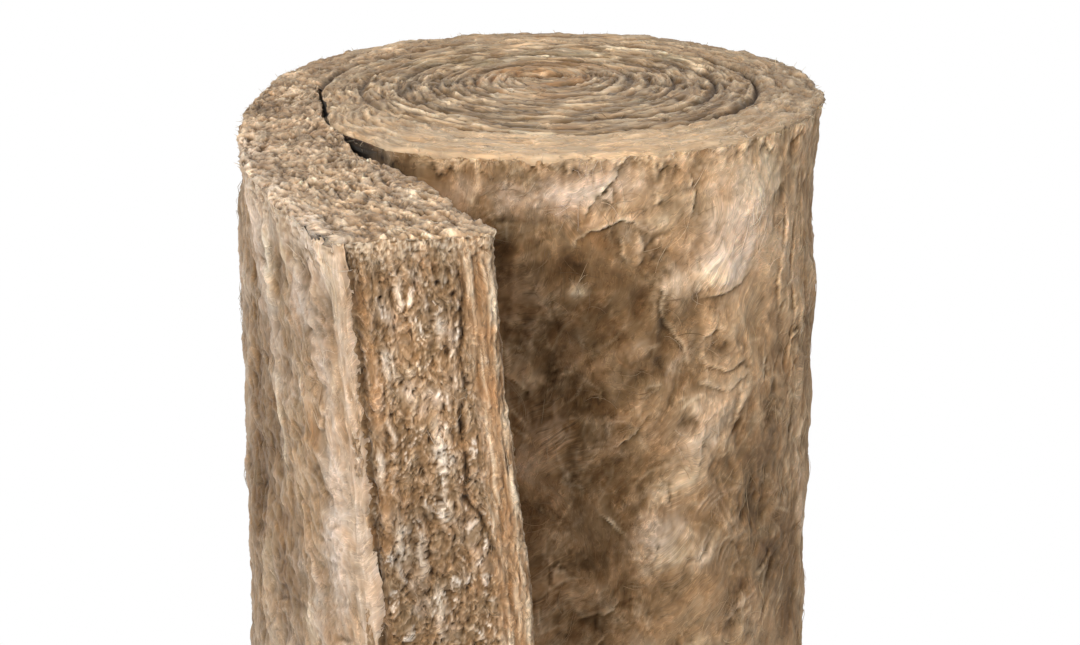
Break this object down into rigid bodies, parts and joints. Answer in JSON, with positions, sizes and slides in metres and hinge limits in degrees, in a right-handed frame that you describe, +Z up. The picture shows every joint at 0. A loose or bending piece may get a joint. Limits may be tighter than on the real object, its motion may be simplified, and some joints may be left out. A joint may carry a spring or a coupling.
{
  "type": "mineral wool insulation roll",
  "caption": "Roll of brown mineral wool insulation batt standing on end, tightly wound into a coil, with its thick free end peeled away and cut square.",
  "frame": {"origin": "on the floor, on the axis of the coil's outer turn", "axes": "+Z up along the coil's axis, -Y towards the cut face of the free end, +X to the right of somebody facing that cut face"},
  "size_m": [0.5756, 0.8185, 1.2],
  "materials": {
    "wool": "matt, fibrous, brown mineral wool"
  },
  "bodies": {
    "root": {"wool_batt": "wool"}
  },
  "joints": []
}
